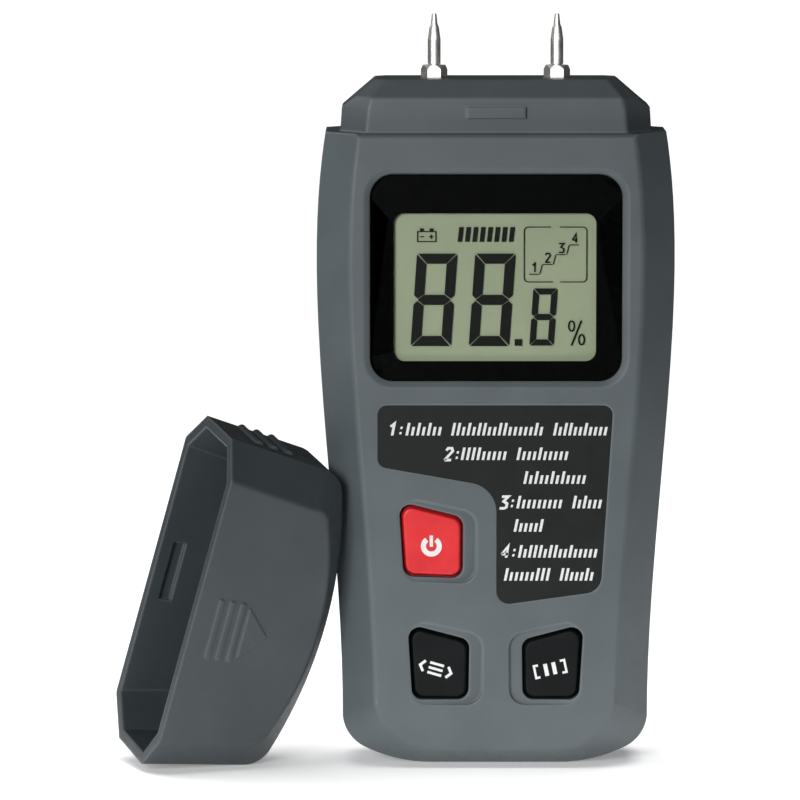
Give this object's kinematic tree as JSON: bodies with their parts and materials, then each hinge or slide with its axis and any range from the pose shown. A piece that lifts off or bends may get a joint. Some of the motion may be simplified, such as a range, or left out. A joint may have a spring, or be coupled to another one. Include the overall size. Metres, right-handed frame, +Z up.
{
  "type": "pin moisture meter",
  "caption": "Hand-held pin moisture meter with a display window, push keys, a battery door and a pull-off cap for its probe pins.",
  "frame": {"origin": "centre of the flat base face that the meter stands on", "axes": "+Z up along the meter towards the probe pins, -Y out of the display face, +X to the right seen from the front; the loose cap is on the -X side"},
  "size_m": [0.1053, 0.0414, 0.1409],
  "materials": {
    "housing": "fine spark-eroded texture, satin",
    "window": "clear moulded window",
    "black_print": "black printed border",
    "display": "grey-green liquid crystal display",
    "inner_plastic": "plain moulded",
    "rubber_strip": "conductive rubber",
    "label_film": "printed film, matt",
    "board": "solder mask",
    "chip": "moulded package",
    "can": "drawn can",
    "steel": "zinc plated",
    "nickel": "nickel plated",
    "brass": "turned",
    "battery_jacket": "plain jacket",
    "foam": "closed-cell foam",
    "cap_plastic": "fine texture, satin",
    "red_key": "satin moulded",
    "black_key": "satin moulded",
    "plunger": "moulded"
  },
  "bodies": {
    "meter": {"front_shell": "housing", "rear_shell": "housing", "display_window": "window", "window_mask": "black_print", "lcd_glass": "display", "lcd_frame": "inner_plastic", "zebra_strips": "rubber_strip", "species_label": "label_film", "circuit_board": "board", "board_chips": "chip", "capacitors": "can", "buzzer": "chip", "board_screws": "steel", "switch_bodies": "chip", "housing_screws": "steel", "left_probe_pin": "nickel", "right_probe_pin": "nickel", "left_pin_nut": "nickel", "right_pin_nut": "nickel", "probe_sockets": "brass", "probe_contacts": "brass", "battery": "battery_jacket", "battery_studs": "steel", "battery_snap": "inner_plastic", "battery_contacts": "brass"},
    "power_key": {"power_button": "red_key", "power_plunger": "plunger"},
    "mode_key": {"mode_button": "black_key", "mode_plunger": "plunger"},
    "hold_key": {"hold_button": "black_key", "hold_plunger": "plunger"},
    "rear_door": {"battery_door": "housing", "door_pad": "foam"},
    "cap": {"probe_cap": "cap_plastic"}
  },
  "joints": [
    {"name": "power_press", "type": "slide", "parent": "meter", "child": "power_key", "axis": [0, 1, 0], "range_m": [0, 0.0005], "stiffness_N_per_m": 800},
    {"name": "mode_press", "type": "slide", "parent": "meter", "child": "mode_key", "axis": [0, 1, 0], "range_m": [0, 0.0005], "stiffness_N_per_m": 800},
    {"name": "hold_press", "type": "slide", "parent": "meter", "child": "hold_key", "axis": [0, 1, 0], "range_m": [0, 0.0005], "stiffness_N_per_m": 800},
    {"name": "door_hinge", "type": "hinge", "parent": "meter", "child": "rear_door", "pos_m": [0, 0.0124, 0.0059], "axis": [-1, 0, 0], "range_deg": [0, 85]},
    {"name": "cap_slide", "type": "slide", "parent": "meter", "child": "cap", "axis": [-0.9011, -0.3806, 0.2079], "range_m": [0, 0.05]}
  ]
}
